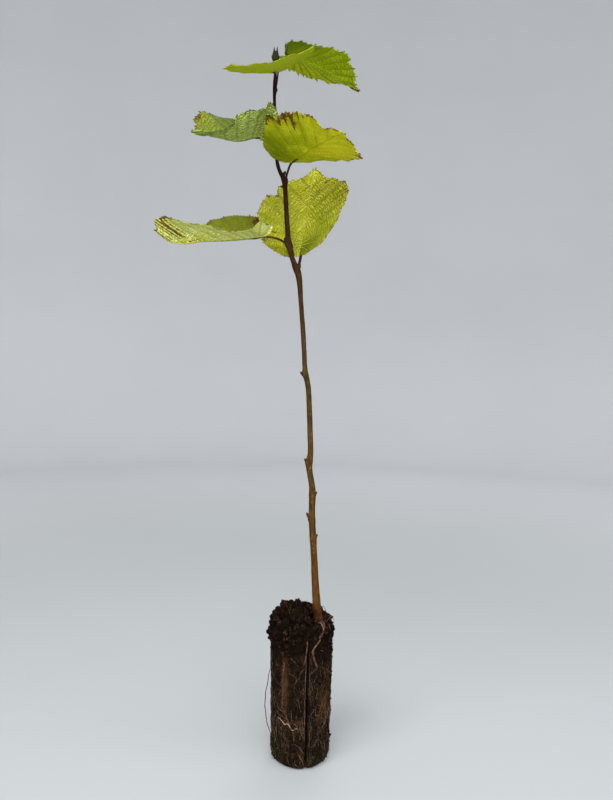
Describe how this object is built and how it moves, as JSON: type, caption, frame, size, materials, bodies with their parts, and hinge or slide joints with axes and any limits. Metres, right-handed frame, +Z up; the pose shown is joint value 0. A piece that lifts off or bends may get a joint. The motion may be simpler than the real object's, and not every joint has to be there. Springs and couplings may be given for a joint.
{
  "type": "cell-grown hazel sapling with root ball",
  "caption": "Young broad-leaved sapling with a thin crooked stem, toothed heart-shaped leaves and a tapered peat root ball that it stands on.",
  "frame": {"origin": "middle of the flat underside of the root ball", "axes": "+Z up along the sapling, -Y towards the front, +X to the right of the front"},
  "size_m": [0.1539, 0.1152, 0.5481],
  "materials": {
    "root_ball": "damp crumbly peat bound by fine pale brown roots",
    "bark": "smooth young bark, golden brown at the foot and dark red brown at the top, with fine lenticels",
    "leaves": "soft pleated leaf, yellow green, lit through, with brown scorched edges",
    "buds": "overlapping bud scales, red brown to grey green"
  },
  "bodies": {
    "root": {"root_ball": "root_ball", "stem": "bark", "leaf_1": "leaves", "leaf_2": "leaves", "leaf_3": "leaves", "leaf_4": "leaves", "leaf_5": "leaves", "leaf_6": "leaves", "bud_low_1": "buds", "bud_low_2": "buds", "bud_low_3": "buds", "bud_low_4": "buds", "bud_low_5": "buds", "bud_leaf_1": "buds", "bud_leaf_2": "buds", "bud_leaf_3": "buds", "bud_tip": "buds"}
  },
  "joints": []
}
